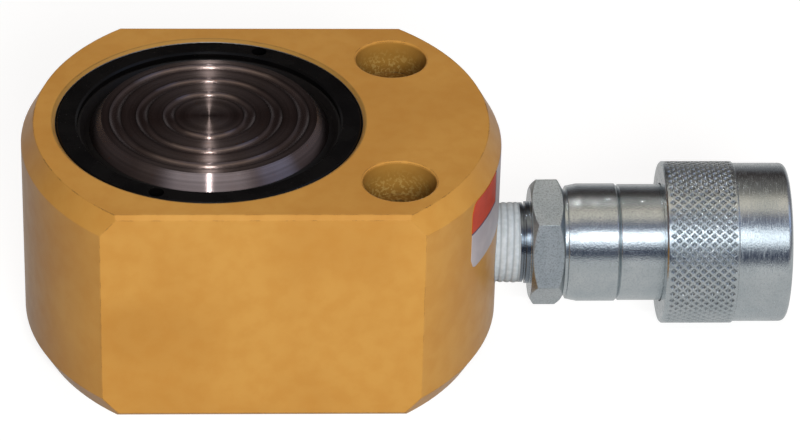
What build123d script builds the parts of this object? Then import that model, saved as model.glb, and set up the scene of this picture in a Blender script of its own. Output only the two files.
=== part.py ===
from build123d import *
import os
from math import cos, pi, radians, sin, sqrt, tan

# Flat single acting hydraulic cylinder with spring return, and the screw coupler half in its port.
# Millimetres, +Z up. The origin lies on the plunger's axis at the base. The port and the coupler point
# along +X, and the two flats of the body face -Y and +Y.

# Body: a turned steel disc with two flats milled on it
body_diameter = 102.0
body_across_flats = 76.8
body_height = 50.2
body_centre_x = 11.1
rim_chamfer_radial = 2.65
rim_chamfer_axial = 4.7
flat_edge_break = 0.9

# Bore, and the wider seat above it that the stop ring screws into
bore_floor_z = 10.0
ring_seat_step = 2.35
ring_seat_chamfer = 0.65

# Two counterbored mounting holes, beside the plunger towards the port
mount_hole_spacing = 49.4
mount_hole_x = 39.5
mount_hole_diameter = 10.2
counterbore_diameter = 15.4
counterbore_depth = 8.0
hole_edge_break = 0.3

# Port: a tapered pipe thread on the round end, and the drilling from it to the foot of the bore
port_z = 18.7
port_depth = 15.5
taper_per_length = 1.0 / 32.0
passage_diameter = 3.5

# Plunger: rod and piston turned in one piece
rod_diameter = 50.8
piston_step = 4.8
plunger_stand = 0.7
floor_gap = 0.1
rod_end_bevel_radial = 2.5
rod_end_bevel_axial = 3.0
groove_count = 3
first_groove_radius = 8.6
groove_spacing = 5.7
groove_width = 2.4
groove_depth = 0.55
piston_height = 12.0
piston_foot_height = 2.5
piston_foot_relief = 2.5
piston_clearance = 0.1
piston_edge_break = 0.4

# Piston packing, upwards from the foot
seal_groove_height = 5.0
seal_groove_depth = 4.5
backup_ring_height = 1.5
seal_land_height = 0.9
wear_groove_height = 2.2
wear_ring_thickness = 1.5
seal_slot_depth = 2.1
seal_lip_bevel = 0.3
expander_wire = 1.5
expander_lift = 0.15
packing_gap = 0.05

# Stop ring
ring_top_recess = 0.4
ring_thread_clearance = 0.05
ring_edge_break = 0.4
ring_bore_clearance = 0.2
ring_stop_gap = 0.05
ring_web_above_spring = 0.7
ring_web_above_bearing = 0.4
spanner_hole_diameter = 3.2
spanner_hole_depth = 4.0
spanner_hole_inset = 2.15
spanner_hole_angle = 69.0

# Rod bearing strip and wiper, both held in the stop ring
bearing_height = 3.2
bearing_thickness = 1.7
bearing_clearance = 0.05
strip_slit = 1.5
wiper_width = 2.6
wiper_seat_depth = 3.9
wiper_top_depth = 1.4
wiper_lip_depth = 1.9
wiper_valley_depth = 2.6
wiper_lip_width = 0.5

# Return spring of rectangular wire with closed ends, between the piston and the stop ring
return_wire_width = 2.4
return_wire_height = 2.0
return_turns = 1.5
end_coil_clearance = 0.15
spring_side_gap = 0.5
spring_pocket_gap = 0.2
spring_end_gap = 0.05
solid_reserve = 0.4

# Tapered thread end of the coupler adapter, wrapped in sealing tape
thread_root_radius = 8.55
thread_standoff = 4.8
thread_engagement = 12.0
thread_bare_lead = 1.0
tape_thickness = 0.24
tape_gap = 0.01
seal_seat_gap = 0.01

# Coupler adapter, outwards from the thread
neck_ring_length = 0.7
neck_ring_step = 0.1
neck_groove_length = 0.5
neck_groove_depth = 0.35
neck_shoulder_length = 1.1
neck_shoulder_step = 0.35
hex_across_flats = 24.3
hex_length = 7.0
hex_chamfer_inset = 0.25
hex_chamfer_angle = 30.0
hex_corner_angle = 48.0
relief_groove_length = 0.8
relief_groove_inset = 0.55
adapter_barrel_length = 11.0
adapter_barrel_radius = 12.75
adapter_barrel_taper_length = 2.4
adapter_barrel_taper_radial = 0.5
seam_chamfer = 0.45
spigot_length = 6.0
spigot_shoulder = 2.6
spigot_clearance = 0.05
oil_bore_radius = 3.2
oil_counterbore_radius = 4.8
oil_counterbore_depth = 4.0
adapter_seal_wire = 1.44
adapter_seal_setback = 2.16
seal_groove_per_wire = 1.2

# Valve housing: rear barrel, flange that holds the collar, and nose
housing_barrel_step = 0.15
housing_barrel_length = 14.7
flange_step = 2.0
flange_length = 3.0
nose_radius = 9.6
nose_length = 13.8
nose_chamfer = 0.8
chamber_radius = 7.0
mouth_bore_radius = 3.6
seat_start = 21.9
nose_seal_wire = 1.5
nose_seal_proud = 0.2
nose_seal_station = 8.4
nose_backup_length = 1.1

# Poppet valve inside the housing
poppet_head_clearance = 0.7
poppet_head_length = 2.9
poppet_stem_clearance = 0.8
poppet_tail_radius = 2.2
poppet_tail_length = 14.6
poppet_seat_gap = 0.07
poppet_tip_recess = 0.2
poppet_seal_wire = 1.3
poppet_seal_step = 1.15
spring_seat_length = 2.0
spring_seat_hole_clearance = 0.15
flow_hole_count = 6
flow_hole_radius = 0.85
flow_hole_step = 1.5
valve_wire = 1.0
valve_turns = 3.25
valve_spring_inset = 1.7

# Knurled collar and its thrust washer
collar_start = 9.6
collar_length = 27.1
collar_knurl_length = 15.2
collar_knurl_proud = 0.35
collar_wall = 2.2
collar_mouth_round = 1.25
collar_rear_edge = 0.35
collar_lip_length = 4.0
collar_lip_clearance = 0.1
collar_flange_clearance = 0.4
collar_thread_relief = 0.3
collar_thread_start = 9.7
collar_mouth_chamfer = 0.8
washer_length = 1.0
washer_clearance = 0.2
collar_end_gap = 0.05

# How far a cutter or a hidden end runs past the face that it meets
overrun = 1.0

# Places worked out from the sizes above
body_radius = body_diameter / 2
rod_radius = rod_diameter / 2
bore_radius = rod_radius + piston_step
ring_seat_radius = bore_radius + ring_seat_step
body_end_x = body_centre_x + body_radius
plunger_foot_z = bore_floor_z + floor_gap
plunger_top_z = body_height + plunger_stand
piston_top_z = plunger_foot_z + piston_height
piston_radius = bore_radius - piston_clearance
seal_groove_z = plunger_foot_z + piston_foot_height + seal_land_height
seal_groove_radius = piston_radius - seal_groove_depth
wear_groove_z = seal_groove_z + seal_groove_height + seal_land_height
wear_groove_radius = piston_radius - wear_ring_thickness
ring_top_z = body_height - ring_top_recess
ring_bore_radius = rod_radius + ring_bore_clearance
wiper_outer_radius = rod_radius + wiper_width
wiper_seat_z = ring_top_z - wiper_seat_depth
wiper_top_z = ring_top_z - wiper_top_depth
bearing_seat_top_z = wiper_seat_z - ring_web_above_bearing
bearing_seat_z = bearing_seat_top_z - bearing_height - 2 * packing_gap
spring_pocket_radius = rod_radius + spring_side_gap + return_wire_width + spring_pocket_gap
spring_pocket_top_z = bearing_seat_z - ring_web_above_spring
return_coils_stacked = int(return_turns) + 1 + 2
ring_bottom_z = spring_pocket_top_z - return_coils_stacked * return_wire_height - solid_reserve + ring_stop_gap
stroke = ring_bottom_z - ring_stop_gap - piston_top_z
spanner_hole_radius = ring_seat_radius - spanner_hole_inset
neck_ring_radius = thread_root_radius + neck_ring_step
neck_groove_radius = thread_root_radius - neck_groove_depth
neck_shoulder_radius = thread_root_radius + neck_shoulder_step
hex_chamfer_radius = hex_across_flats / 2 - hex_chamfer_inset
relief_groove_radius = hex_across_flats / 2 - relief_groove_inset
spigot_radius = adapter_barrel_radius - spigot_shoulder
housing_barrel_radius = adapter_barrel_radius - housing_barrel_step
flange_radius = housing_barrel_radius + flange_step
poppet_head_radius = chamber_radius - poppet_head_clearance
poppet_stem_radius = mouth_bore_radius - poppet_stem_clearance
poppet_seal_radius = mouth_bore_radius + poppet_seal_step
flow_hole_circle = poppet_tail_radius + flow_hole_step
valve_spring_radius = chamber_radius - valve_spring_inset
collar_thread_radius = flange_radius + collar_flange_clearance
collar_cavity_radius = collar_thread_radius + collar_thread_relief
collar_plain_radius = collar_thread_radius + collar_wall
collar_knurl_radius = collar_plain_radius + collar_knurl_proud
hex_start = body_end_x + thread_standoff + neck_ring_length + neck_groove_length + neck_shoulder_length
hex_end = hex_start + hex_length
barrel_start = hex_end + relief_groove_length
seam_x = barrel_start + adapter_barrel_length
flange_start = seam_x + housing_barrel_length
nose_start = flange_start + flange_length
nose_end = nose_start + nose_length
collar_x = seam_x + collar_start
collar_end = collar_x + collar_length
spigot_end = seam_x + spigot_length
cone_start = seam_x + seat_start
cone_length = chamber_radius - mouth_bore_radius
nose_seal_x = nose_start + nose_seal_station

os.makedirs("parts", exist_ok=True)


def ring_about_z(points):
    """Turns a closed outline of (radius, height) points about the plunger's axis."""
    outline = make_face(Polyline([(r, 0, z) for r, z in points], close=True))
    return revolve(outline, Axis.Z, 360)


def turned_on_port(points):
    """Turns a closed outline of (distance along X, radius) points about the port's axis."""
    outline = make_face(Polyline([(x, 0, r) for x, r in points], close=True))
    return Pos(0, 0, port_z) * revolve(outline, Axis.X, 360)


def round_ring_on_port(x, ring_radius, wire):
    """A seal ring of round section, centred on the port's axis."""
    return Pos(x, 0, port_z) * Rot(0, 90, 0) * Torus(ring_radius, wire / 2)


def thread_radius(x):
    """Radius of the tapered thread at a distance along X, widest at the neck."""
    return thread_root_radius - (body_end_x + thread_standoff - x) * taper_per_length


def slit_through(ring, z, height):
    """Opens a strip ring with a narrow slit, as bearing strips are cut to length."""
    slit = Pos(-bore_radius, 0, z + height / 2) * Box(bore_radius, strip_slit, height * 2)
    return ring - slit


def save(shape, name):
    shape.label = name
    export_step(shape, f"parts/{name}.step")


def cylinder_body():
    top = body_height
    turned = make_face(Polyline([
        (0, 0, 0),
        (body_radius - rim_chamfer_radial, 0, 0),
        (body_radius, 0, rim_chamfer_axial),
        (body_radius, 0, top - rim_chamfer_axial),
        (body_radius - rim_chamfer_radial, 0, top),
        (0, 0, top),
    ], close=True))
    disc = Pos(body_centre_x, 0, 0) * revolve(turned, Axis.Z, 360)
    half, cut = body_across_flats / 2, flat_edge_break
    section = make_face(Polyline([
        (-body_radius, cut - half, 0), (-body_radius, half - cut, 0),
        (-body_radius, half, cut), (-body_radius, half, top - cut),
        (-body_radius, half - cut, top), (-body_radius, cut - half, top),
        (-body_radius, -half, top - cut), (-body_radius, -half, cut),
    ], close=True))
    slab = Pos(body_centre_x, 0, 0) * extrude(section, amount=body_diameter, dir=(1, 0, 0))
    body = disc & slab
    mouth_radius = ring_seat_radius + ring_seat_chamfer
    body -= ring_about_z([
        (0, bore_floor_z), (bore_radius, bore_floor_z), (bore_radius, ring_bottom_z),
        (ring_seat_radius, ring_bottom_z), (ring_seat_radius, top - ring_seat_chamfer),
        (mouth_radius + overrun, top + overrun), (0, top + overrun),
    ])
    for side in (-1, 1):
        body -= Pos(mount_hole_x, side * mount_hole_spacing / 2, 0) * mounting_hole()
    port_floor = body_end_x - port_depth
    wall = tape_thickness + 2 * tape_gap
    cutter_end = body_end_x + overrun
    body -= turned_on_port([
        (port_floor, 0), (port_floor, thread_radius(port_floor) + wall),
        (cutter_end, thread_radius(cutter_end) + wall), (cutter_end, 0),
    ])
    body -= oil_passage(port_floor)
    return body


def mounting_hole():
    """The through hole, its counterbore and their edge breaks, as one cutter standing on the base."""
    hole, wide = mount_hole_diameter / 2, counterbore_diameter / 2
    floor, cut = body_height - counterbore_depth, hole_edge_break
    top = body_height + overrun
    return ring_about_z([
        (0, -overrun), (hole + cut + overrun, -overrun), (hole, cut), (hole, floor), (wide, floor),
        (wide, body_height - cut), (wide + cut + overrun, top), (0, top),
    ])


def oil_passage(port_floor):
    """A drilling that slopes from the port's floor down to the relief round the piston's foot."""
    start = Vector(port_floor + overrun, 0, port_z)
    finish = Vector(bore_radius - overrun, 0, bore_floor_z + passage_diameter / 2)
    run = finish - start
    drill = Plane(origin=start, z_dir=run) * Circle(passage_diameter / 2)
    return extrude(drill, amount=run.length)


def plunger():
    """Rod and piston in one: grooved end face, bevelled rim, packing grooves and relieved foot."""
    foot = piston_radius - piston_foot_relief
    shoulder_z = plunger_foot_z + piston_foot_height
    cut = piston_edge_break
    body = ring_about_z([
        (0, plunger_foot_z), (foot, plunger_foot_z), (foot, shoulder_z), (piston_radius, shoulder_z),
        (piston_radius, seal_groove_z), (seal_groove_radius, seal_groove_z),
        (seal_groove_radius, seal_groove_z + seal_groove_height),
        (piston_radius, seal_groove_z + seal_groove_height), (piston_radius, wear_groove_z),
        (wear_groove_radius, wear_groove_z), (wear_groove_radius, wear_groove_z + wear_groove_height),
        (piston_radius, wear_groove_z + wear_groove_height),
        (piston_radius, piston_top_z - cut), (piston_radius - cut, piston_top_z),
        (rod_radius, piston_top_z), (rod_radius, plunger_top_z - rod_end_bevel_axial),
        (rod_radius - rod_end_bevel_radial, plunger_top_z), (0, plunger_top_z),
    ])
    # A round-nosed tool leaves each groove with a circular section
    tool_radius = (groove_width ** 2 / 4 + groove_depth ** 2) / (2 * groove_depth)
    tool_centre_z = plunger_top_z - groove_depth + tool_radius
    for index in range(groove_count):
        body -= Pos(0, 0, tool_centre_z) * Torus(first_groove_radius + index * groove_spacing, tool_radius)
    return body


def piston_seal():
    """U-cup with its lips towards the oil."""
    inner, outer = seal_groove_radius + packing_gap, piston_radius + packing_gap
    low = seal_groove_z + packing_gap
    high = seal_groove_z + seal_groove_height - backup_ring_height - 2 * packing_gap
    middle = (inner + outer) / 2
    lip, heel = low + seal_lip_bevel, low + seal_slot_depth
    slot = expander_wire / 2 + packing_gap
    return ring_about_z([
        (inner, low), (middle - slot, lip), (middle - slot, heel), (middle + slot, heel),
        (middle + slot, lip), (outer, low), (outer, high), (inner, high),
    ])


def seal_expander():
    """The soft ring in the cup's slot that spreads its lips."""
    middle = (seal_groove_radius + piston_radius) / 2 + packing_gap
    wire_radius = expander_wire / 2
    return Pos(0, 0, seal_groove_z + expander_lift + wire_radius) * Torus(middle, wire_radius)


def piston_backup_ring():
    high = seal_groove_z + seal_groove_height - packing_gap
    low = high - backup_ring_height
    inner, outer = seal_groove_radius + packing_gap, piston_radius
    return ring_about_z([(inner, low), (outer, low), (outer, high), (inner, high)])


def piston_wear_ring():
    low = wear_groove_z + packing_gap
    height = wear_groove_height - 2 * packing_gap
    inner, outer = wear_groove_radius + packing_gap / 2, piston_radius + piston_clearance / 2
    ring = ring_about_z([(inner, low), (outer, low), (outer, low + height), (inner, low + height)])
    return slit_through(ring, low, height)


def stop_ring():
    """Screwed into the body; its skirt stops the piston and houses the spring, bearing and wiper."""
    outer = ring_seat_radius - ring_thread_clearance
    cut = ring_edge_break
    bearing_radius = rod_radius + bearing_clearance + bearing_thickness + packing_gap
    ring = ring_about_z([
        (spring_pocket_radius, ring_bottom_z), (outer - cut, ring_bottom_z), (outer, ring_bottom_z + cut),
        (outer, ring_top_z - cut), (outer - cut, ring_top_z), (wiper_outer_radius + cut, ring_top_z),
        (wiper_outer_radius, ring_top_z - cut), (wiper_outer_radius, wiper_seat_z),
        (ring_bore_radius, wiper_seat_z), (ring_bore_radius, bearing_seat_top_z),
        (bearing_radius, bearing_seat_top_z), (bearing_radius, bearing_seat_z), (ring_bore_radius, bearing_seat_z),
        (ring_bore_radius, spring_pocket_top_z), (spring_pocket_radius, spring_pocket_top_z),
    ])
    for turn in (0, 180):
        angle = radians(spanner_hole_angle + turn)
        place = Pos(spanner_hole_radius * cos(angle), spanner_hole_radius * sin(angle), ring_top_z)
        ring -= place * Cylinder(spanner_hole_diameter / 2, spanner_hole_depth * 2)
    return ring


def gland_bearing():
    low = bearing_seat_z + packing_gap
    inner = rod_radius + bearing_clearance
    outer = inner + bearing_thickness
    ring = ring_about_z([
        (inner, low), (outer, low), (outer, low + bearing_height), (inner, low + bearing_height),
    ])
    return slit_through(ring, low, bearing_height)


def rod_wiper():
    """Lip ring pressed into the top of the stop ring, with a valley behind its scraping lip."""
    inner, outer = rod_radius + packing_gap, wiper_outer_radius - packing_gap
    low = wiper_seat_z + packing_gap
    lip_z, valley_z = ring_top_z - wiper_lip_depth, ring_top_z - wiper_valley_depth
    return ring_about_z([
        (inner + wiper_lip_width, low), (outer, low), (outer, wiper_top_z),
        (outer - wiper_lip_width, wiper_top_z), (inner + 2 * wiper_lip_width, valley_z),
        (inner, lip_z), (inner, low + 2 * wiper_lip_width),
    ])


def closed_end_spring(length, turns, coil_radius, wire_height, section):
    """Spring standing on z = 0 that fits the given length: working coils between two flat end coils.

    The section is a sketch of the wire, centred on the origin, with its X radial and its Y along the spring.
    Each end coil stops short of the place where the working coil over it has risen clear of it.
    """
    rise = length - wire_height
    pitch = rise / turns
    end_coil = 360 * (1 - (wire_height + end_coil_clearance) / pitch)
    helix = Helix(pitch=pitch, height=rise, radius=coil_radius)
    wire = sweep(Pos(coil_radius, 0, 0) * Rot(90, 0, 0) * section, path=helix, is_frenet=True)
    flat_coil = revolve(Pos(coil_radius, 0, 0) * Rot(90, 0, 0) * section, Axis.Z, end_coil)
    wire += Rot(0, 0, -end_coil) * flat_coil
    wire += Pos(0, 0, rise) * Rot(0, 0, 360 * turns) * flat_coil
    return Pos(0, 0, wire_height / 2) * wire


def return_spring():
    low, high = piston_top_z + spring_end_gap, spring_pocket_top_z - spring_end_gap
    coil_radius = rod_radius + spring_side_gap + return_wire_width / 2
    section = Rectangle(return_wire_width, return_wire_height)
    spring = closed_end_spring(high - low, return_turns, coil_radius, return_wire_height, section)
    return Pos(0, 0, low) * spring


def thread_seal_tape():
    """Tape wound over the tapered thread, from inside the port to the neck."""
    start = body_end_x - thread_engagement
    finish = body_end_x + thread_standoff
    low, high = tape_gap, tape_gap + tape_thickness
    return turned_on_port([
        (start, thread_radius(start) + low), (start, thread_radius(start) + high),
        (finish, thread_radius(finish) + high), (finish, thread_radius(finish) + low),
    ])


def hexagon():
    """The spanner hexagon, chamfered at both ends."""
    turn = Pos(hex_start, 0, port_z) * Rot(90 - hex_corner_angle, 0, 0) * Rot(0, 90, 0)
    corner_radius = hex_across_flats / 2 / cos(pi / 6)
    blank = turn * extrude(RegularPolygon(corner_radius, 6), amount=hex_length)
    run = (corner_radius - hex_chamfer_radius) * tan(radians(hex_chamfer_angle))
    cones = turned_on_port([
        (hex_start, 0), (hex_start, hex_chamfer_radius), (hex_start + run, corner_radius),
        (hex_end - run, corner_radius), (hex_end, hex_chamfer_radius), (hex_end, 0),
    ])
    return blank & cones


def coupler_adapter():
    """Tapered thread, neck, hexagon, first barrel and the spigot that screws into the housing."""
    thread_start = body_end_x - thread_engagement - thread_bare_lead
    thread_end = body_end_x + thread_standoff
    ring_end = thread_end + neck_ring_length
    groove_end = ring_end + neck_groove_length
    seal_x = spigot_end - adapter_seal_setback
    groove_half = adapter_seal_wire * seal_groove_per_wire / 2
    groove_bottom = spigot_radius + spigot_clearance - adapter_seal_wire
    shaft = turned_on_port([
        (thread_start, oil_bore_radius), (thread_start, thread_radius(thread_start)),
        (thread_end, thread_radius(thread_end)), (thread_end, neck_ring_radius),
        (ring_end, neck_ring_radius), (ring_end, neck_groove_radius), (groove_end, neck_groove_radius),
        (groove_end, neck_shoulder_radius), (hex_start + overrun, neck_shoulder_radius),
        (hex_start + overrun, relief_groove_radius), (barrel_start, relief_groove_radius),
        (barrel_start, adapter_barrel_radius - adapter_barrel_taper_radial),
        (barrel_start + adapter_barrel_taper_length, adapter_barrel_radius),
        (seam_x - seam_chamfer, adapter_barrel_radius), (seam_x, adapter_barrel_radius - seam_chamfer),
        (seam_x, spigot_radius), (seal_x - groove_half, spigot_radius), (seal_x - groove_half, groove_bottom),
        (seal_x + groove_half, groove_bottom), (seal_x + groove_half, spigot_radius),
        (spigot_end, spigot_radius), (spigot_end, oil_counterbore_radius),
        (spigot_end - oil_counterbore_depth, oil_counterbore_radius),
        (spigot_end - oil_counterbore_depth, oil_bore_radius),
    ])
    bore_start, bore_end = hex_start - overrun, hex_end + overrun
    head = hexagon() - turned_on_port([
        (bore_start, 0), (bore_start, oil_bore_radius), (bore_end, oil_bore_radius), (bore_end, 0),
    ])
    return shaft + head


def adapter_o_ring():
    centre = spigot_radius + spigot_clearance - adapter_seal_wire / 2
    return round_ring_on_port(spigot_end - adapter_seal_setback, centre, adapter_seal_wire - 2 * seal_seat_gap)


def nose_seal_groove():
    """Half width of the nose's seal groove, and the radius of its floor."""
    return nose_seal_wire * seal_groove_per_wire / 2, nose_radius + nose_seal_proud - nose_seal_wire


def valve_housing():
    """Rear socket, valve chamber with its conical seat, collar flange and nose."""
    socket = spigot_radius + spigot_clearance
    socket_end = spigot_end + spigot_clearance
    half, floor = nose_seal_groove()
    groove_start, groove_end = nose_seal_x - half, nose_seal_x + half + nose_backup_length
    return turned_on_port([
        (seam_x, socket), (seam_x, housing_barrel_radius - seam_chamfer),
        (seam_x + seam_chamfer, housing_barrel_radius), (flange_start, housing_barrel_radius),
        (flange_start, flange_radius), (nose_start, flange_radius), (nose_start, nose_radius),
        (groove_start, nose_radius), (groove_start, floor), (groove_end, floor), (groove_end, nose_radius),
        (nose_end - nose_chamfer, nose_radius), (nose_end, nose_radius - nose_chamfer),
        (nose_end, mouth_bore_radius), (cone_start + cone_length, mouth_bore_radius),
        (cone_start, chamber_radius), (socket_end, chamber_radius), (socket_end, socket),
    ])


def nose_o_ring():
    half, floor = nose_seal_groove()
    return round_ring_on_port(nose_seal_x, floor + nose_seal_wire / 2 + seal_seat_gap, nose_seal_wire)


def nose_backup_ring():
    half, floor = nose_seal_groove()
    start = nose_seal_x + half
    end = start + nose_backup_length - packing_gap
    inner, outer = floor + seal_seat_gap, nose_radius - packing_gap
    return turned_on_port([(start, inner), (start, outer), (end, outer), (end, inner)])


def poppet_line():
    """Distance along X plus radius, the same all along the poppet's 45 degree cone."""
    return cone_start + chamber_radius - poppet_seat_gap * sqrt(2)


def valve_poppet():
    head_start = poppet_line() - poppet_head_radius - poppet_head_length
    body = turned_on_port([
        (head_start - poppet_tail_length, 0), (head_start - poppet_tail_length, poppet_tail_radius),
        (head_start, poppet_tail_radius), (head_start, poppet_head_radius),
        (poppet_line() - poppet_head_radius, poppet_head_radius),
        (poppet_line() - poppet_stem_radius, poppet_stem_radius),
        (nose_end - poppet_tip_recess, poppet_stem_radius), (nose_end - poppet_tip_recess, 0),
    ])
    return body - round_ring_on_port(poppet_seal_x(), poppet_seal_radius, poppet_seal_wire + 2 * packing_gap)


def poppet_seal_x():
    """Centre of the seal ring along X, so that it stands proud of the cone by half its gap to the seat."""
    half_gap_along_x = poppet_seat_gap * sqrt(2) / 2
    return poppet_line() + half_gap_along_x - poppet_seal_wire / sqrt(2) - poppet_seal_radius


def poppet_seal():
    return round_ring_on_port(poppet_seal_x(), poppet_seal_radius, poppet_seal_wire)


def valve_spring_seat():
    """Drilled disc against the adapter's spigot, which carries the spring and guides the poppet."""
    start = spigot_end + seal_seat_gap
    end = start + spring_seat_length
    hole, rim = poppet_tail_radius + spring_seat_hole_clearance, chamber_radius - packing_gap
    disc = turned_on_port([(start, hole), (start, rim), (end, rim), (end, hole)])
    for index in range(flow_hole_count):
        angle = 2 * pi * index / flow_hole_count
        y, z = flow_hole_circle * cos(angle), flow_hole_circle * sin(angle)
        drill = Cylinder(flow_hole_radius, spring_seat_length + 2 * overrun)
        disc -= Pos((start + end) / 2, y, port_z + z) * Rot(0, 90, 0) * drill
    return disc


def valve_spring():
    low = spigot_end + seal_seat_gap + spring_seat_length + spring_end_gap
    high = poppet_line() - poppet_head_radius - poppet_head_length - spring_end_gap
    section = Circle(valve_wire / 2)
    coil = closed_end_spring(high - low, valve_turns, valve_spring_radius, valve_wire, section)
    return Pos(low, 0, port_z) * Rot(0, 90, 0) * coil


def collar_thrust_washer():
    start = flange_start - collar_end_gap - washer_length
    inner, outer = adapter_barrel_radius + washer_clearance, collar_cavity_radius - washer_clearance
    return turned_on_port([
        (start, inner), (start, outer), (start + washer_length, outer), (start + washer_length, inner),
    ])


def coupler_collar():
    """Union collar: rear lip over the barrel, cavity for the flange, and the threaded mouth."""
    lip = adapter_barrel_radius + collar_lip_clearance
    knurl_end = collar_x + collar_knurl_length
    thread_start = collar_x + collar_thread_start
    cut = collar_rear_edge
    sleeve = turned_on_port([
        (collar_x, lip), (collar_x, collar_knurl_radius - cut), (collar_x + cut, collar_knurl_radius),
        (knurl_end, collar_knurl_radius), (knurl_end, collar_plain_radius), (collar_end, collar_plain_radius),
        (collar_end, collar_thread_radius + collar_mouth_chamfer),
        (collar_end - collar_mouth_chamfer, collar_thread_radius), (thread_start, collar_thread_radius),
        (thread_start, collar_cavity_radius), (collar_x + collar_lip_length, collar_cavity_radius),
        (collar_x + collar_lip_length, lip),
    ])
    rim = sleeve.edges().filter_by(GeomType.CIRCLE).group_by(Axis.X)[-1].sort_by(lambda edge: edge.radius)[-1]
    return fillet(rim, collar_mouth_round)


pieces = [
    cylinder_body, stop_ring, rod_wiper, gland_bearing, return_spring,
    plunger, piston_seal, seal_expander, piston_backup_ring, piston_wear_ring,
    thread_seal_tape, coupler_adapter, adapter_o_ring, valve_housing, valve_spring_seat,
    valve_spring, valve_poppet, poppet_seal, nose_o_ring, nose_backup_ring,
    collar_thrust_washer, coupler_collar,
]
for piece in pieces:
    save(piece(), piece.__name__)
print("wrote", len(pieces), "pieces")
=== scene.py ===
import bmesh
import bpy
from math import cos, pi, radians, sin, sqrt
from mathutils import Matrix, Vector


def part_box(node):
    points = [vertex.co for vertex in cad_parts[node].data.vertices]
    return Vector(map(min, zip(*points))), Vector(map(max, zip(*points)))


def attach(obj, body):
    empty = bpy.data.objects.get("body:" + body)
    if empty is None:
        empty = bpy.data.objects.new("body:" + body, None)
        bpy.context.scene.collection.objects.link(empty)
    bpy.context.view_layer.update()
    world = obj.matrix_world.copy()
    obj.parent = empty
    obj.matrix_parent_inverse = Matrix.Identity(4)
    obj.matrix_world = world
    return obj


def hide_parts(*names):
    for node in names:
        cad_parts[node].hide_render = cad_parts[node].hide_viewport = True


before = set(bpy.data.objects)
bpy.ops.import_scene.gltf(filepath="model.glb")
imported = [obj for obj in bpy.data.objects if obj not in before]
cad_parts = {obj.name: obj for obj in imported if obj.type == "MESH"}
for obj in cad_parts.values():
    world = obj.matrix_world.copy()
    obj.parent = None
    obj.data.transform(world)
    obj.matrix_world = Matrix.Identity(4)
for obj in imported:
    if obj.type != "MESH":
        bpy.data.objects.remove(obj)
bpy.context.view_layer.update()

# Cylinder body. A disc of steel, turned all over, with two flats milled on its sides, bored for the
# plunger and counterbored for two mounting screws. It is sprayed with warm yellow gloss enamel, which
# runs thin on the edges, and the bore and the port are left as bare turned steel.


class Shade:
    """A socket in a node tree. An expression on shades adds the Math nodes that work it out."""

    def __init__(self, tree, socket=None):
        self.tree = tree
        self.socket = socket

    def node(self, kind, settings=None, inputs=None, output=0):
        """Adds a node, makes its settings, then gives its inputs their values or links."""
        made = self.tree.nodes.new(kind)
        for name, value in (settings or {}).items():
            if name == "stops":
                spare = made.color_ramp.elements
                while len(spare) < len(value):
                    spare.new(1.0)
                for stop, (place, colour) in zip(spare, value):
                    stop.position = place
                    stop.color = colour
            else:
                setattr(made, name, value)
        for key, value in (inputs or {}).items():
            if isinstance(value, Shade):
                self.tree.links.new(value.socket, made.inputs[key])
            else:
                made.inputs[key].default_value = value
        return Shade(self.tree, made.outputs[output] if len(made.outputs) else None)

    def sibling(self, name):
        """Another output of the node that this shade comes from."""
        return Shade(self.tree, self.socket.node.outputs[name])

    def maths(self, operation, *values):
        return self.node("ShaderNodeMath", {"operation": operation}, dict(enumerate(values)))

    def __add__(self, other):
        return self.maths("ADD", self, other)

    def __sub__(self, other):
        return self.maths("SUBTRACT", self, other)

    def __rsub__(self, other):
        return self.maths("SUBTRACT", other, self)

    def __mul__(self, other):
        return self.maths("MULTIPLY", self, other)

    def __truediv__(self, other):
        return self.maths("DIVIDE", self, other)

    __radd__ = __add__
    __rmul__ = __mul__

    def rise(self, start, end):
        """0 before start, 1 after end, smooth between; also falls, where end is less than start."""
        span = {"Value": self, "From Min": start, "From Max": end}
        return self.node("ShaderNodeMapRange", {"interpolation_type": "SMOOTHSTEP"}, span)

    def parts(self):
        """The x, y and z of a vector."""
        first = self.node("ShaderNodeSeparateXYZ", inputs={0: self})
        return first, first.sibling("Y"), first.sibling("Z")

    def vector(self, x, y, z):
        return self.node("ShaderNodeCombineXYZ", inputs={0: x, 1: y, 2: z})

    def length(self, across, along):
        """How far a point is from an axis, from its two distances square to it."""
        flat = self.vector(across, along, 0.0)
        return self.node("ShaderNodeVectorMath", {"operation": "LENGTH"}, {0: flat}, 1)

    def noise(self, scale, detail=2.0, roughness=0.5):
        """Cloudy noise about 0.5 over the vector in this shade, with scale in blots per metre."""
        settings = {"Vector": self, "Scale": scale, "Detail": detail, "Roughness": roughness}
        return self.node("ShaderNodeTexNoise", inputs=settings)

    def mix(self, first, second):
        """Blends two colours by the number in this shade."""
        ends = {0: self, 6: first, 7: second}
        return self.node("ShaderNodeMix", {"data_type": "RGBA"}, ends, 2)

    def bump(self, depth, normal=None):
        """A normal from this shade as a height between 0 and depth, in metres."""
        settings = {"Height": self, "Distance": depth, "Strength": 1.0}
        if normal is not None:
            settings["Normal"] = normal
        return self.node("ShaderNodeBump", inputs=settings)


def tint(red, green, blue):
    """A colour as a screen shows it, 0 to 255, turned into the linear values of a shader."""
    linear = [((value / 255 + 0.055) / 1.055) ** 2.4 for value in (red, green, blue)]
    return (*linear, 1.0)


def finish(name):
    """An empty material, and the shade that its nodes are added through."""
    material = bpy.data.materials.new(name)
    material.use_nodes = True
    material.node_tree.nodes.clear()
    return material, Shade(material.node_tree)


def coat(shade, **inputs):
    """Joins a Principled surface with these inputs to the material's output."""
    named = {name.replace("_", " "): value for name, value in inputs.items()}
    surface = shade.node("ShaderNodeBsdfPrincipled", inputs=named)
    shade.node("ShaderNodeOutputMaterial", inputs={"Surface": surface})


def put_on(material, *names):
    """Gives CAD nodes this material."""
    for name in names:
        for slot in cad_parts[name].material_slots:
            slot.material = material


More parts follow.
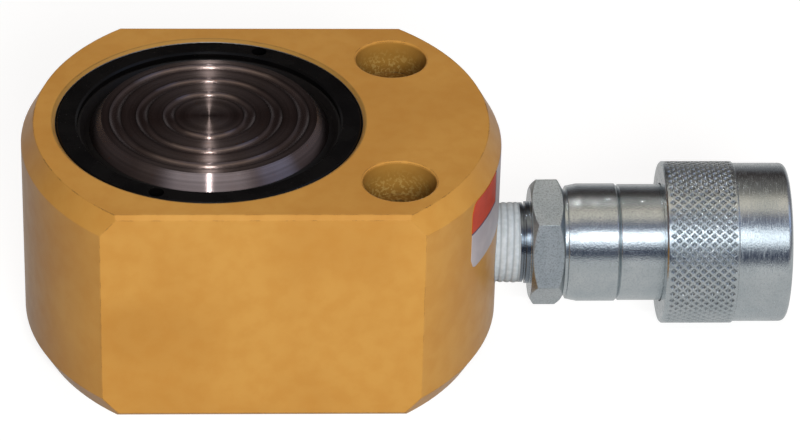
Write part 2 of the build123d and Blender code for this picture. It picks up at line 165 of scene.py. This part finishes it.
body_low, body_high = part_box("cylinder_body")
port_height = 0.0187
seat_radius = 0.0326
port_radius = 0.0092
hole_x = 0.0395
hole_y = 0.0247
hole_radius = 0.0077

enamel, shade = finish("yellow enamel")
place = shade.node("ShaderNodeTexCoord", output="Object")
x, y, z = place.parts()
from_axis = shade.length(x, y)
from_port = shade.length(y, z - port_height)
rounded = shade.node("ShaderNodeBevel", {"samples": 6}, {"Radius": 0.00045})
plain = shade.node("ShaderNodeNewGeometry", output="Normal")
edge = 1.0 - shade.node("ShaderNodeVectorMath", {"operation": "DOT_PRODUCT"}, {0: rounded, 1: plain}, 1)
blotch = place.noise(38.0, 3.0)
dapple = place.noise(260.0, 3.0)
speck = place.noise(1500.0, 2.0)
from_hole = shade.length(x - hole_x, y.maths("ABSOLUTE", y) - hole_y)
below_top = z.rise(body_high.z - 0.0002, body_high.z - 0.0008)
in_hole = from_hole.rise(hole_radius + 0.0002, hole_radius + 0.0001) * below_top
in_bore = from_axis.rise(seat_radius + 0.0001, seat_radius) * z.rise(0.0004, 0.0006)
in_port = from_port.rise(port_radius + 0.0001, port_radius) * x.rise(0.040, 0.041)
bare = in_bore.maths("MAXIMUM", in_bore, in_port)
worn = edge.rise(0.03, 0.12) * (dapple.rise(0.50, 0.58) * 0.8 + 0.2)
mouth = from_axis.rise(0.0336, 0.0333) * z.rise(0.0490, 0.0494)
smudge = shade.length((x + 0.014) / 1.6, z - 0.021).rise(0.012, 0.004) * y.rise(-0.0380, -0.0383)
deep_hole_shade = in_hole * z.rise(body_high.z, body_high.z - 0.004)
dusty = in_hole * z.rise(0.0495, 0.0425) * speck.rise(0.5, 0.6)
yellow = blotch.rise(0.35, 0.65).mix(tint(193, 139, 65), tint(201, 148, 72))
yellow = (dapple.rise(0.35, 0.7) * 0.25).mix(yellow, tint(184, 122, 46))
# Painted shade: inside the counterbores the enamel is darkened to olive, more so from 4 mm below the top. Only the
# light specks in them are dust.
yellow = (in_hole * 0.48 + deep_hole_shade * 0.2).mix(yellow, tint(104, 78, 30))
yellow = (smudge * blotch.rise(0.3, 0.6) * 0.35).mix(yellow, tint(164, 108, 40))
yellow = (mouth * 0.5).mix(yellow, tint(110, 90, 48))
yellow = worn.mix(yellow, tint(84, 66, 44))
yellow = (dusty * 0.7).mix(yellow, tint(176, 146, 84))
steel_tone = speck.rise(0.3, 0.7).mix(tint(120, 118, 116), tint(146, 144, 140))
peel = place.noise(620.0, 2.0).bump(0.000012, rounded)
coat(
    shade,
    Base_Color=bare.mix(yellow, steel_tone),
    Metallic=bare,
    Roughness=0.3 + dapple * 0.16 + worn * 0.2,
    Normal=peel,
    Coat_Weight=0.15 - bare * 0.15,
    Coat_Roughness=0.1,
    Specular_IOR_Level=0.15,
)
put_on(enamel, "cylinder_body")

# Stop ring. A threaded steel ring that closes the bore and stops the plunger's stroke, turned, given two
# holes for a pin spanner, and blackened in a hot salt bath, so it shines through a thin film of oil.

black_oxide, shade = finish("black oxide")
place = shade.node("ShaderNodeTexCoord", output="Object")
x, y, z = place.parts()
from_axis = shade.length(x, y)
turning = shade.vector(from_axis, z, 0.0).noise(5200.0, 2.0)
film = place.noise(190.0, 3.0)
coat(
    shade,
    Base_Color=film.rise(0.3, 0.7).mix(tint(2, 2, 3), tint(8, 7, 7)),
    Roughness=0.2 + film * 0.14,
    Normal=turning.bump(0.000002),
    Specular_IOR_Level=0.16,
)
put_on(black_oxide, "stop_ring")

# Rod wiper. A lip seal of dark polyurethane, pressed into the stop ring, whose lip scrapes the rod.

wiper_rubber, shade = finish("wiper polyurethane")
place = shade.node("ShaderNodeTexCoord", output="Object")
haze = place.noise(900.0, 3.0)
coat(
    shade,
    Base_Color=haze.rise(0.3, 0.7).mix(tint(7, 5, 5), tint(13, 10, 9)),
    Roughness=0.42 + haze * 0.2,
    Normal=haze.bump(0.00001),
    Specular_IOR_Level=0.25,
)
put_on(wiper_rubber, "rod_wiper")

# Plunger. Rod and piston turned from one steel bar, hardened and ground on the rod. Its end face keeps the
# fine rings of the turning tool and three shallow grooves, and the bevel round it is turned smoother.

first_groove = 0.0086
groove_spacing = 0.0057

plunger_steel, shade = finish("turned plunger steel")
place = shade.node("ShaderNodeTexCoord", output="Object")
x, y, z = place.parts()
from_axis = shade.length(x, y)
tool_marks = shade.vector(from_axis, z, 0.0).noise(2600.0, 3.0, 0.65)
broad_marks = shade.vector(from_axis, 0.0, 0.0).noise(420.0, 2.0)
stain = place.noise(120.0, 4.0)
rust = place.noise(1300.0, 2.0).rise(0.68, 0.76)
steel_tone = broad_marks.rise(0.3, 0.7).mix(tint(116, 103, 101), tint(150, 136, 134))
steel_tone = (stain.rise(0.4, 0.75) * 0.5).mix(steel_tone, tint(112, 92, 84))
steel_tone = (rust * 0.6).mix(steel_tone, tint(150, 84, 44))
groove_turn = (from_axis - first_groove) / groove_spacing
from_groove = groove_turn.maths("PINGPONG", groove_turn, 0.5) * groove_spacing
grooved = from_axis.rise(first_groove - 0.002, first_groove - 0.0019) * from_axis.rise(0.0217, 0.0216) * z.rise(0.049, 0.0495)
groove_edge_shade = from_groove.rise(0.0007, 0.0012) * from_groove.rise(0.0016, 0.00125) * grooved
steel_tone = (tool_marks.rise(0.4, 0.7) * 0.4).mix(steel_tone, tint(84, 74, 72))
# Painted shade: a dark line is painted along both edges of each groove in the end face.
steel_tone = (groove_edge_shade * 0.6).mix(steel_tone, tint(52, 42, 40))
coat(
    shade,
    Base_Color=steel_tone,
    Metallic=1.0,
    Roughness=0.17 + broad_marks * 0.1,
    Normal=tool_marks.bump(0.000004),
    Anisotropic=1.0,
    Anisotropic_Rotation=0.25,
)
put_on(plunger_steel, "plunger")

# Piston packing and rod bearing. A moulded polyurethane seal with a rubber expander in its slot, a backup
# ring of white fluoropolymer, and split bearing strips of bronze that keep the steel parts from touching.


def moulded(name, dark, light, gloss, coarse):
    """A moulded or sintered finish, cloudy between two colours."""
    material, shade = finish(name)
    place = shade.node("ShaderNodeTexCoord", output="Object")
    cloud = place.noise(coarse, 3.0)
    grit = place.noise(coarse * 6.0, 2.0)
    coat(
        shade,
        Base_Color=(cloud * 0.6 + grit * 0.4).rise(0.35, 0.65).mix(tint(*dark), tint(*light)),
        Roughness=gloss + grit * 0.15,
        Normal=grit.bump(0.000008),
    )
    return material


put_on(moulded("seal polyurethane", (150, 96, 34), (176, 118, 48), 0.34, 300.0), "piston_seal")
put_on(moulded("black rubber", (20, 20, 21), (38, 37, 37), 0.45, 420.0),
       "seal_expander", "adapter_o_ring", "nose_o_ring", "poppet_seal")
put_on(moulded("white fluoropolymer", (214, 212, 204), (236, 234, 228), 0.4, 350.0),
       "piston_backup_ring", "nose_backup_ring")

bronze, shade = finish("bearing bronze")
place = shade.node("ShaderNodeTexCoord", output="Object")
cloud = place.noise(500.0, 3.0)
coat(
    shade,
    Base_Color=cloud.rise(0.3, 0.7).mix(tint(150, 104, 58), tint(186, 138, 84)),
    Metallic=1.0,
    Roughness=0.3 + cloud * 0.2,
    Normal=cloud.bump(0.000006),
)
put_on(bronze, "gland_bearing", "piston_wear_ring")

# Springs. The return spring is coiled from flat spring steel with closed ends and pushes the piston down;
# the valve spring is round wire. Both are oil tempered, which leaves them dark and a little blue.

tempered, shade = finish("oil tempered spring steel")
place = shade.node("ShaderNodeTexCoord", output="Object")
scale_marks = place.noise(700.0, 4.0)
coat(
    shade,
    Base_Color=scale_marks.rise(0.3, 0.7).mix(tint(74, 76, 82), tint(112, 114, 118)),
    Metallic=1.0,
    Roughness=0.28 + scale_marks * 0.2,
    Normal=scale_marks.bump(0.000008),
)
put_on(tempered, "return_spring", "valve_spring")

# Thread sealing tape. Soft white tape, wound over the taper thread before the coupler was screwed in, so
# that the crests of the thread stand through it as round ridges between the body and the neck.


class Pattern:
    """A Geometry Nodes tree with one named input for each size, cast into a plain mesh."""

    def __init__(self, name, sizes):
        self.name = name
        self.tree = bpy.data.node_groups.new(name, "GeometryNodeTree")
        self.tree.interface.new_socket(name="Geometry", in_out="OUTPUT", socket_type="NodeSocketGeometry")
        self.values = {}
        for label, value in sizes.items():
            kind = "NodeSocketInt" if isinstance(value, int) else "NodeSocketFloat"
            socket = self.tree.interface.new_socket(name=label, in_out="INPUT", socket_type=kind)
            self.values[socket.identifier] = value
        self.shade = Shade(self.tree)
        self.entry = self.tree.nodes.new("NodeGroupInput")

    def size(self, label):
        return Shade(self.tree, self.entry.outputs[label])

    def cast(self, geometry, material):
        """Ends the tree, sets the sizes and returns the mesh that the tree makes."""
        whole = self.shade.node("GeometryNodeRealizeInstances", inputs={0: geometry})
        painted = self.shade.node("GeometryNodeSetMaterial", inputs={"Geometry": whole, "Material": material})
        self.shade.node("NodeGroupOutput", inputs={"Geometry": painted})
        carrier = bpy.data.objects.new(self.name, bpy.data.meshes.new(self.name))
        bpy.context.scene.collection.objects.link(carrier)
        modifier = carrier.modifiers.new("pattern", "NODES")
        modifier.node_group = self.tree
        for identifier, value in self.values.items():
            modifier[identifier] = value
        bpy.context.view_layer.update()
        graph = bpy.context.evaluated_depsgraph_get()
        mesh = bpy.data.meshes.new_from_object(carrier.evaluated_get(graph))
        bpy.data.objects.remove(carrier)
        return mesh


def wrapped(shade, geometry, along, around, radius):
    """Moves a flat grid onto a tube round the port's axis, from its places along and around it."""
    spot = shade.vector(along, radius * around.maths("SINE", around), radius * around.maths("COSINE", around) + port_height)
    return shade.node("GeometryNodeSetPosition", inputs={"Geometry": geometry, "Position": spot})


def screw_wall(name, material, start, length, radius, taper, pitch, depth, steps_per_pitch, steps_around, swell):
    """A tube wall with a screw ridge on it, standing out or cut in by depth, and fading at both ends."""
    rows = round(length / pitch * steps_per_pitch)
    pattern = Pattern(name, {
        "Start": start, "Length": length, "Radius": radius, "Taper": taper, "Pitch": pitch,
        "Depth": depth, "Rows": rows, "Steps around": steps_around,
    })
    shade = pattern.shade
    flat = {
        "Size X": pattern.size("Length"), "Size Y": 2 * pi,
        "Vertices X": pattern.size("Rows"), "Vertices Y": pattern.size("Steps around") + 1.0,
    }
    grid = shade.node("GeometryNodeMeshGrid", inputs=flat)
    along, around, _ = shade.node("GeometryNodeInputPosition").parts()
    along = along + pattern.size("Length") / 2.0
    turn = along / pattern.size("Pitch") - around / (2 * pi)
    wave = turn.maths("PINGPONG", turn, 0.5) * 2.0
    if swell:
        wave = wave.maths("SINE", wave * (pi / 2))
    fade = along.rise(0.0, pitch * 0.5) * (pattern.size("Length") - along).rise(0.0, pitch * 0.5)
    wall = pattern.size("Radius") + along * pattern.size("Taper") + wave * fade * pattern.size("Depth")
    tube = wrapped(shade, grid, along + pattern.size("Start"), around, wall)
    return pattern.cast(tube, material)


def turned(profile, steps):
    """Rings of points round the port's axis through each (x, radius) of a profile, and their faces."""
    mesh = bpy.data.meshes.new("turned")
    points = []
    faces = []
    for ring, (along, radius) in enumerate(profile):
        for step in range(steps):
            angle = 2 * pi * (step / steps - 0.5)
            points.append((along, radius * sin(angle), port_height + radius * cos(angle)))
            if ring:
                here = (ring - 1) * steps + step
                beside = (ring - 1) * steps + (step + 1) % steps
                faces.append((here, here + steps, beside + steps, beside))
    mesh.from_pydata(points, [], faces)
    return mesh


def one_piece(name, meshes, body, crease):
    """Joins meshes whose edges meet into one closed piece that rides on a body."""
    joined = bmesh.new()
    for mesh in meshes:
        joined.from_mesh(mesh)
    bmesh.ops.remove_doubles(joined, verts=joined.verts, dist=0.000004)
    bmesh.ops.recalc_face_normals(joined, faces=joined.faces)
    mesh = bpy.data.meshes.new(name)
    joined.to_mesh(mesh)
    joined.free()
    mesh.shade_smooth()
    mesh.set_sharp_from_angle(angle=radians(crease))
    piece = bpy.data.objects.new(name, mesh)
    bpy.context.scene.collection.objects.link(piece)
    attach(piece, body)
    return piece


tape_low, tape_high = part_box("thread_seal_tape")
tape_steps = 96
tape_pitch = 0.001411
tape_ridge = 0.00021
tape_core = tape_high.z - port_height - tape_ridge
tape_length = tape_high.x - tape_low.x
taper = 1.0 / 32.0
tape_lining = 0.00001
tape_foot = tape_core - tape_length * taper

tape_white, shade = finish("thread sealing tape")
place = shade.node("ShaderNodeTexCoord", output="Object")
x, y, z = place.parts()
from_port = shade.length(y, z - port_height)
fold = place.noise(800.0, 3.0)
core = (x - tape_low.x) * taper + tape_foot
# Painted shade: the tape is darker in the valleys between the ridges.
between_ridges_shade = (from_port - core).rise(tape_ridge * 0.62, tape_ridge * 0.2)
coat(
    shade,
    Base_Color=(between_ridges_shade * 0.55).mix(fold.rise(0.3, 0.7).mix(tint(182, 190, 195), tint(200, 206, 211)), tint(136, 142, 148)),
    Roughness=0.42 + fold * 0.2,
    Normal=fold.bump(0.00002),
    Subsurface_Weight=0.1,
)

winding = screw_wall("tape winding", tape_white, tape_low.x, tape_length, tape_foot, taper,
                     tape_pitch, tape_ridge, 12, tape_steps, True)
lining = turned([
    (tape_low.x, tape_foot), (tape_low.x, tape_foot - tape_lining),
    (tape_high.x, tape_core - tape_lining), (tape_high.x, tape_core),
], tape_steps)
tape = one_piece("sealing_tape_winding", [winding, lining], "cylinder", 60.0)
tape.data.materials.append(tape_white)
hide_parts("thread_seal_tape")

# Coupler adapter and valve housing. Free cutting steel, turned, with a hexagon milled for the spanner, and
# zinc plated in a barrel, which leaves a frosted skin of fine crystals with faint turning marks under it.


def zinc(name, turning_depth, frost_depth, streaks, dull_from, dull_to, dullness, pit_top):
    """Zinc plate over turned steel: frosted grain, and turning marks round the port's axis.
    Between two places along the axis the steel is milled or knurled, and the plate is duller.
    What lies there below the radius pit_top is in a pit, and is darkened as painted shade."""
    material, shade = finish(name)
    place = shade.node("ShaderNodeTexCoord", output="Object")
    x, y, z = place.parts()
    from_port = shade.length(y, z - port_height)
    turning = shade.vector(x, 0.0, 0.0).noise(2300.0, 3.0, 0.7)
    scratch = shade.vector(x * 10.0, y, z).noise(420.0, 3.0, 0.7)
    frost = place.noise(2600.0, 3.0, 0.7)
    cloud = place.noise(150.0, 3.0)
    rounded = shade.node("ShaderNodeBevel", {"samples": 6}, {"Radius": 0.0003})
    milled = x.rise(dull_from, dull_from + 0.0001) * x.rise(dull_to + 0.0001, dull_to)
    tone = cloud.rise(0.3, 0.7).mix(tint(188, 197, 201), tint(202, 209, 212))
    tone = (frost.rise(0.45, 0.75) * 0.4).mix(tone, tint(150, 158, 164))
    grit = place.noise(3000.0, 2.0, 0.6)
    tone = (milled * grit.rise(0.46, 0.66) * dullness * 1.8).mix(tone, tint(118, 124, 128))
    # Painted reflection: the neck between the tape and the hex gets a dark blue-grey colour for the dark things it
    # mirrors. It is also made really a little glossier.
    glossy_neck_painted_dark = x.rise(0.0664, 0.0666) * x.rise(0.0692, 0.0690)
    tone = (glossy_neck_painted_dark * 0.8).mix(tone, tint(100, 110, 122))
    # Painted shade: the knurl pits below pit_top are darkened towards blue-grey.
    pit_shade = from_port.rise(pit_top, pit_top - 0.00028) * milled
    tone = (pit_shade * 0.3).mix(tone, tint(78, 86, 98))
    relief = turning.bump(turning_depth, (frost + milled * grit * dullness * 6.0).bump(frost_depth, rounded))
    coat(
        shade,
        Base_Color=tone,
        Metallic=1.0,
        Roughness=0.08 + frost * 0.12 + scratch.rise(0.35, 0.8) * streaks + milled * dullness - glossy_neck_painted_dark * 0.05,
        Normal=relief,
    )
    return material


plated = zinc("frosted zinc plate", 0.000002, 0.00004, 0.12, 0.0692, 0.0762, 0.26, 0.0)
put_on(plated, "coupler_adapter", "valve_housing", "collar_thrust_washer")

# Poppet valve in the nose of the coupler. The poppet and its spring seat are turned steel, ground smooth.

ground_steel, shade = finish("ground valve steel")
place = shade.node("ShaderNodeTexCoord", output="Object")
x, y, z = place.parts()
grinding = shade.vector(x, 0.0, 0.0).noise(3000.0, 2.0)
smear = place.noise(300.0, 3.0)
coat(
    shade,
    Base_Color=smear.rise(0.3, 0.7).mix(tint(166, 166, 168), tint(190, 190, 190)),
    Metallic=1.0,
    Roughness=0.2 + smear * 0.16,
    Normal=grinding.bump(0.000004),
)
put_on(ground_steel, "valve_poppet", "valve_spring_seat")

# Coupler collar. The union nut that slides and turns on the coupler, turned from steel bar, threaded in
# its mouth and zinc plated. The rear half is knurled: a pair of wheels presses staggered diamond pits.

collar_low, collar_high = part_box("coupler_collar")
knurl_radius = (collar_high.z - collar_low.z) / 2
knurl_sink = 0.00035
plain_radius = knurl_radius - knurl_sink
knurl_columns = 7
knurl_around = 58
knurl_spacing = 0.00215
knurl_row = 2 * pi * knurl_radius / knurl_around
knurl_bevel = 0.00035
knurl_start = collar_low.x + knurl_bevel
knurl_end = knurl_start + knurl_columns * knurl_spacing
pit_share = 0.7
pit_depth = 0.00036
pit_floor = 0.42
lip_radius = 0.01285
cavity_start = collar_low.x + 0.004
cavity_radius = 0.0153
thread_start = collar_low.x + 0.0097
thread_radius = 0.0150
thread_pitch = 0.00176
thread_depth = 0.0008
mouth_chamfer = 0.0008
mouth_round = 0.00125
round_steps = 6

collar_plated = zinc("brushed zinc plate", 0.00001, 0.00003, 0.24, knurl_start, knurl_end, 0.03, knurl_radius)


def flat_mesh(name, points, faces):
    mesh = bpy.data.meshes.new(name)
    mesh.from_pydata(points, [], faces)
    helper = bpy.data.objects.new(name, mesh)
    bpy.context.scene.collection.objects.link(helper)
    return helper


across = knurl_spacing / 2
along_row = knurl_row / 2
corners = [(across, 0.0), (0.0, along_row), (-across, 0.0), (0.0, -along_row)]
pit_points = [(px, py, 0.0) for px, py in corners]
pit_points += [(px * pit_share, py * pit_share, 0.0) for px, py in corners]
pit_points += [(px * pit_share * pit_floor, py * pit_share * pit_floor, -pit_depth) for px, py in corners]
pit_faces = []
for side in range(4):
    following = (side + 1) % 4
    pit_faces.append((side, following, following + 4, side + 4))
    pit_faces.append((side + 4, following + 4, following + 8, side + 8))
pit_faces.append((8, 9, 10, 11))
pit = flat_mesh("knurl pit", pit_points, pit_faces)
gusset_points = [(0.0, -along_row, 0.0), (across, 0.0, 0.0), (0.0, along_row, 0.0), (0.0, 0.0, 0.0)]
gusset = flat_mesh("knurl end", gusset_points, [(0, 1, 3), (3, 1, 2)])

knurl = Pattern("collar knurl", {
    "Start": knurl_start, "Columns": knurl_columns, "Around": knurl_around,
    "Spacing": knurl_spacing, "Row": knurl_row, "Radius": knurl_radius,
})
shade = knurl.shade
middle = knurl.size("Start") + knurl.size("Columns") * knurl.size("Spacing") / 2.0
lattices = []
for fewer, shift in ((1.0, 0.0), (2.0, 0.5)):
    sheet = {
        "Size X": (knurl.size("Columns") - fewer) * knurl.size("Spacing"),
        "Size Y": (knurl.size("Around") - 1.0) * knurl.size("Row"),
        "Vertices X": knurl.size("Columns") - (fewer - 1.0),
        "Vertices Y": knurl.size("Around"),
    }
    spots = shade.node("GeometryNodeMeshGrid", inputs=sheet)
    moved = {"Geometry": spots, "Translation": shade.vector(middle, knurl.size("Row") * shift, 0.0)}
    spots = shade.node("GeometryNodeTransform", inputs=moved)
    pits = shade.node("GeometryNodeObjectInfo", inputs={"Object": pit, "As Instance": True}, output="Geometry")
    lattices.append(shade.node("GeometryNodeInstanceOnPoints", inputs={"Points": spots, "Instance": pits}))
for end, turn in ((knurl.size("Start"), 0.0), (knurl.size("Start") + knurl.size("Columns") * knurl.size("Spacing"), pi)):
    foot = (knurl.size("Around") - 1.0) * knurl.size("Row") * -0.5 + knurl.size("Row") * 0.5
    line = {
        "Count": knurl.size("Around"),
        "Start Location": shade.vector(end, foot, 0.0),
        "Offset": shade.vector(0.0, knurl.size("Row"), 0.0),
    }
    spots = shade.node("GeometryNodeMeshLine", inputs=line)
    ends = shade.node("GeometryNodeObjectInfo", inputs={"Object": gusset, "As Instance": True}, output="Geometry")
    placed = {"Points": spots, "Instance": ends, "Rotation": (0.0, 0.0, turn)}
    lattices.append(shade.node("GeometryNodeInstanceOnPoints", inputs=placed))
join = shade.node("GeometryNodeJoinGeometry")
for lattice in lattices:
    shade.tree.links.new(lattice.socket, join.socket.node.inputs[0])
loose = shade.node("GeometryNodeRealizeInstances", inputs={0: join})
along, around, height = shade.node("GeometryNodeInputPosition").parts()
skin = wrapped(shade, loose, along, around / knurl.size("Radius"), knurl.size("Radius") + height)
knurl_mesh = knurl.cast(skin, collar_plated)
for helper in (pit, gusset):
    bpy.data.objects.remove(helper)

collar_steps = knurl_around * 2
mouth_arc = []
for step in range(round_steps + 1):
    angle = pi / 2 * step / round_steps
    mouth_arc.append((collar_high.x - mouth_round * (1 - sin(angle)), plain_radius - mouth_round * (1 - cos(angle))))
thread_end = collar_high.x - mouth_chamfer
thread_wall = screw_wall("collar thread", collar_plated, thread_start, thread_end - thread_start, thread_radius, 0.0,
                         thread_pitch, thread_depth, 8, collar_steps, False)
mouth = turned([(knurl_end, knurl_radius), (knurl_end + 0.0001, plain_radius)] + mouth_arc + [
    (collar_high.x, thread_radius + mouth_chamfer), (thread_end, thread_radius)], collar_steps)
rear = turned([
    (thread_start, thread_radius), (thread_start, cavity_radius), (cavity_start, cavity_radius),
    (cavity_start, lip_radius), (collar_low.x, lip_radius), (collar_low.x, knurl_radius - knurl_bevel),
    (knurl_start, knurl_radius),
], collar_steps)
collar = one_piece("knurled_union_collar", [knurl_mesh, mouth, thread_wall, rear], "collar", 34.0)
collar.data.materials.append(collar_plated)
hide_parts("coupler_collar")

# Sticker. A plain vinyl label, red over white, stuck on the round end above the port and left blank.

sticker_radius = body_high.x - 0.0111 + 0.00012
sticker_centre = 0.0111
sticker_bottom = 0.0288
sticker_top = 0.0453
sticker_near = radians(-31.0)
sticker_far = radians(9.0)
sticker_corner = 0.0024
sticker_columns = 40
panel_bottom = 0.0380
panel_end = 0.27

vinyl, shade = finish("label vinyl")
place = shade.node("ShaderNodeTexCoord", output="Object")
x, y, z = place.parts()
cloud = place.noise(240.0, 3.0)
paper = cloud.rise(0.3, 0.7).mix(tint(182, 174, 180), tint(198, 190, 194))
red = cloud.rise(0.3, 0.7).mix(tint(190, 56, 26), tint(206, 68, 32))
sideways = (y * -1.0) / (x - sticker_centre)
in_panel = sideways.rise(panel_end, panel_end + 0.004) * z.rise(panel_bottom, panel_bottom + 0.0001)
line = sideways.rise(panel_end - 0.008, panel_end - 0.004) * z.rise(panel_bottom - 0.0004, panel_bottom - 0.0003)
printed = line.mix(paper, tint(70, 62, 92))
printed = in_panel.mix(printed, red)
coat(shade, Base_Color=printed, Roughness=0.3 + cloud * 0.1, Normal=cloud.bump(0.000008))

points = []
faces = []
for column in range(sticker_columns + 1):
    angle = sticker_near + (sticker_far - sticker_near) * column / sticker_columns
    to_end = sticker_radius * min(angle - sticker_near, sticker_far - angle)
    short = max(sticker_corner - to_end, 0.0)
    drop = sticker_corner - sqrt(sticker_corner ** 2 - short ** 2)
    for layer in (sticker_radius, sticker_radius - 0.0001):
        for height in (sticker_bottom + drop, sticker_top - drop):
            points.append((sticker_centre + layer * cos(angle), layer * sin(angle), height))
    if column:
        near, far = 4 * column - 4, 4 * column
        for first, second in ((0, 1), (1, 3), (3, 2), (2, 0)):
            faces.append((near + first, far + first, far + second, near + second))
last = 4 * sticker_columns
faces.append((0, 1, 3, 2))
faces.append((last, last + 2, last + 3, last + 1))
sheet = bpy.data.meshes.new("sticker")
sheet.from_pydata(points, [], faces)
sticker = one_piece("blank_label", [sheet], "cylinder", 30.0)
sticker.data.materials.append(vinyl)

# Table and room. The cylinder stands on a white table in a white room, lit by one soft lamp above the
# camera and the pale ceiling. Gloss and metal mirror the lamp, the dark room and a warm patch overhead.

table_size = 6.0
white_table, shade = finish("white table")
place = shade.node("ShaderNodeTexCoord", output="Object")
faint = place.noise(3.0, 2.0)
rays = shade.node("ShaderNodeLightPath", output="Is Camera Ray")
seen = rays.maths("MAXIMUM", rays, rays.sibling("Is Transmission Ray")) * 0.84 + rays.sibling("Is Glossy Ray") * 0.40
lit = shade.node("ShaderNodeBsdfDiffuse", inputs={"Color": faint.rise(0.3, 0.7).mix((0.24, 0.24, 0.24, 1), (0.27, 0.27, 0.27, 1))})
glow = shade.node("ShaderNodeEmission", inputs={"Color": (1.0, 1.0, 1.0, 1.0), "Strength": seen})
both = shade.node("ShaderNodeAddShader", inputs={0: lit, 1: glow})
shade.node("ShaderNodeOutputMaterial", inputs={"Surface": both})
table_mesh = bpy.data.meshes.new("table")
half = table_size / 2
table_mesh.from_pydata([(-half, -half, 0), (half, -half, 0), (half, half, 0), (-half, half, 0)], [], [(0, 1, 2, 3)])
table = bpy.data.objects.new("table", table_mesh)
bpy.context.scene.collection.objects.link(table)
table.data.materials.append(white_table)

room = bpy.data.worlds.new("room")
room.use_nodes = True
room.node_tree.nodes.clear()
shade = Shade(room.node_tree)
direction = shade.node("ShaderNodeTexCoord", output="Generated")
x, y, z = direction.parts()
over_front = z.maths("ARCTAN2", z, 0.0 - y) / (2 * pi) + 0.5


def stop(degrees, red, green, blue):
    return ((degrees + 180.0) / 360.0, (red, green, blue, 1.0))


arch = over_front.node("ShaderNodeValToRGB", {"stops": [
    stop(-170.0, 0.35, 0.35, 0.36),
    stop(-2.0, 0.20, 0.22, 0.25),
    stop(8.0, 0.06, 0.07, 0.11),
    stop(22.0, 0.07, 0.08, 0.12),
    stop(34.0, 1.7, 1.8, 1.9),
    stop(45.0, 1.7, 1.8, 1.9),
    stop(55.0, 0.24, 0.26, 0.34),
    stop(70.0, 0.20, 0.20, 0.25),
    stop(82.0, 0.84, 0.76, 0.65),
    stop(97.0, 0.84, 0.75, 0.63),
    stop(110.0, 0.22, 0.20, 0.18),
    stop(136.0, 0.11, 0.10, 0.095),
    stop(147.0, 0.045, 0.035, 0.033),
    stop(154.0, 0.04, 0.03, 0.028),
    stop(163.0, 0.16, 0.16, 0.17),
    stop(180.0, 0.36, 0.36, 0.36),
]}, {"Fac": over_front})
sides = x.rise(-0.3, 0.3).mix((0.12, 0.11, 0.11, 1.0), (0.26, 0.25, 0.27, 1.0))
mirrored = x.maths("ABSOLUTE", x).rise(0.4, 0.75).mix(arch, sides)
toward_window = direction.node("ShaderNodeVectorMath", {"operation": "DOT_PRODUCT"}, {0: direction, 1: (0.75, -0.17, 0.64)}, 1)
mirrored = toward_window.rise(0.93, 0.985).mix(mirrored, (0.55, 0.66, 0.95, 1.0))
rays = shade.node("ShaderNodeLightPath", output="Is Camera Ray")
open_air = rays.maths("MAXIMUM", rays, rays.sibling("Is Transmission Ray"))
air = rays.sibling("Is Glossy Ray").mix((0.15, 0.125, 0.11, 1.0), mirrored)
air = open_air.mix(air, (1.0, 1.0, 1.0, 1.0))
sky = shade.node("ShaderNodeBackground", inputs={"Color": air, "Strength": 1.0})
shade.node("ShaderNodeOutputWorld", inputs={"Surface": sky})
bpy.context.scene.world = room


def lamp(name, bearing, height, distance, width, tall, watts, colour):
    """An area lamp that faces the object, at a bearing from the front and a height in degrees."""
    light = bpy.data.lights.new(name, "AREA")
    light.shape = "RECTANGLE"
    light.size = width
    light.size_y = tall
    light.energy = watts
    light.color = colour
    holder = bpy.data.objects.new(name, light)
    bpy.context.scene.collection.objects.link(holder)
    aim = Vector((0.03, 0.0, 0.03))
    out = Vector((
        sin(radians(bearing)) * cos(radians(height)),
        -cos(radians(bearing)) * cos(radians(height)),
        sin(radians(height)),
    ))
    holder.location = aim + out * distance
    holder.rotation_euler = out.to_track_quat("Z", "Y").to_euler()
    return holder


softbox = lamp("soft lamp over the camera", 8.0, 27.0, 1.2, 0.4, 0.3, 13.0, (0.99, 1.0, 0.99))
backlight = lamp("soft lamp behind", 186.0, 12.0, 1.2, 0.8, 0.4, 6.5, (1.0, 0.93, 0.86))
softbox.visible_glossy = False
backlight.visible_glossy = False
lamp("flash over the camera", -2.2, 44.0, 1.1, 0.02, 0.02, 1.8, (0.96, 0.98, 1.0))
lamp("small lamp overhead", 3.3, 118.0, 1.1, 0.02, 0.02, 0.9, (1.0, 0.97, 0.93))

# Camera. It looks down at 33 degrees, from about 0.9 m, through a long lens.

camera_place = (0.0002886, -0.7486, 0.5124)
camera_yaw = 0.05449
camera_pitch = 0.5771
camera_roll = 0.0288
forward = Vector((
    sin(camera_yaw) * cos(camera_pitch), cos(camera_yaw) * cos(camera_pitch), -sin(camera_pitch),
))
level = Vector((cos(camera_yaw), -sin(camera_yaw), 0.0))
upward = level.cross(forward)
right = level * cos(camera_roll) + upward * sin(camera_roll)
up = upward * cos(camera_roll) - level * sin(camera_roll)
camera_data = bpy.data.cameras.new("camera")
camera_data.lens = 186.5
camera_data.sensor_width = 36.0
camera_data.clip_start = 0.05
camera_data.clip_end = 50.0
camera = bpy.data.objects.new("camera", camera_data)
bpy.context.scene.collection.objects.link(camera)
turn = Matrix((right, up, -forward)).transposed().to_4x4()
camera.matrix_world = Matrix.Translation(camera_place) @ turn
bpy.context.scene.camera = camera
bpy.context.scene.view_settings.view_transform = "Standard"
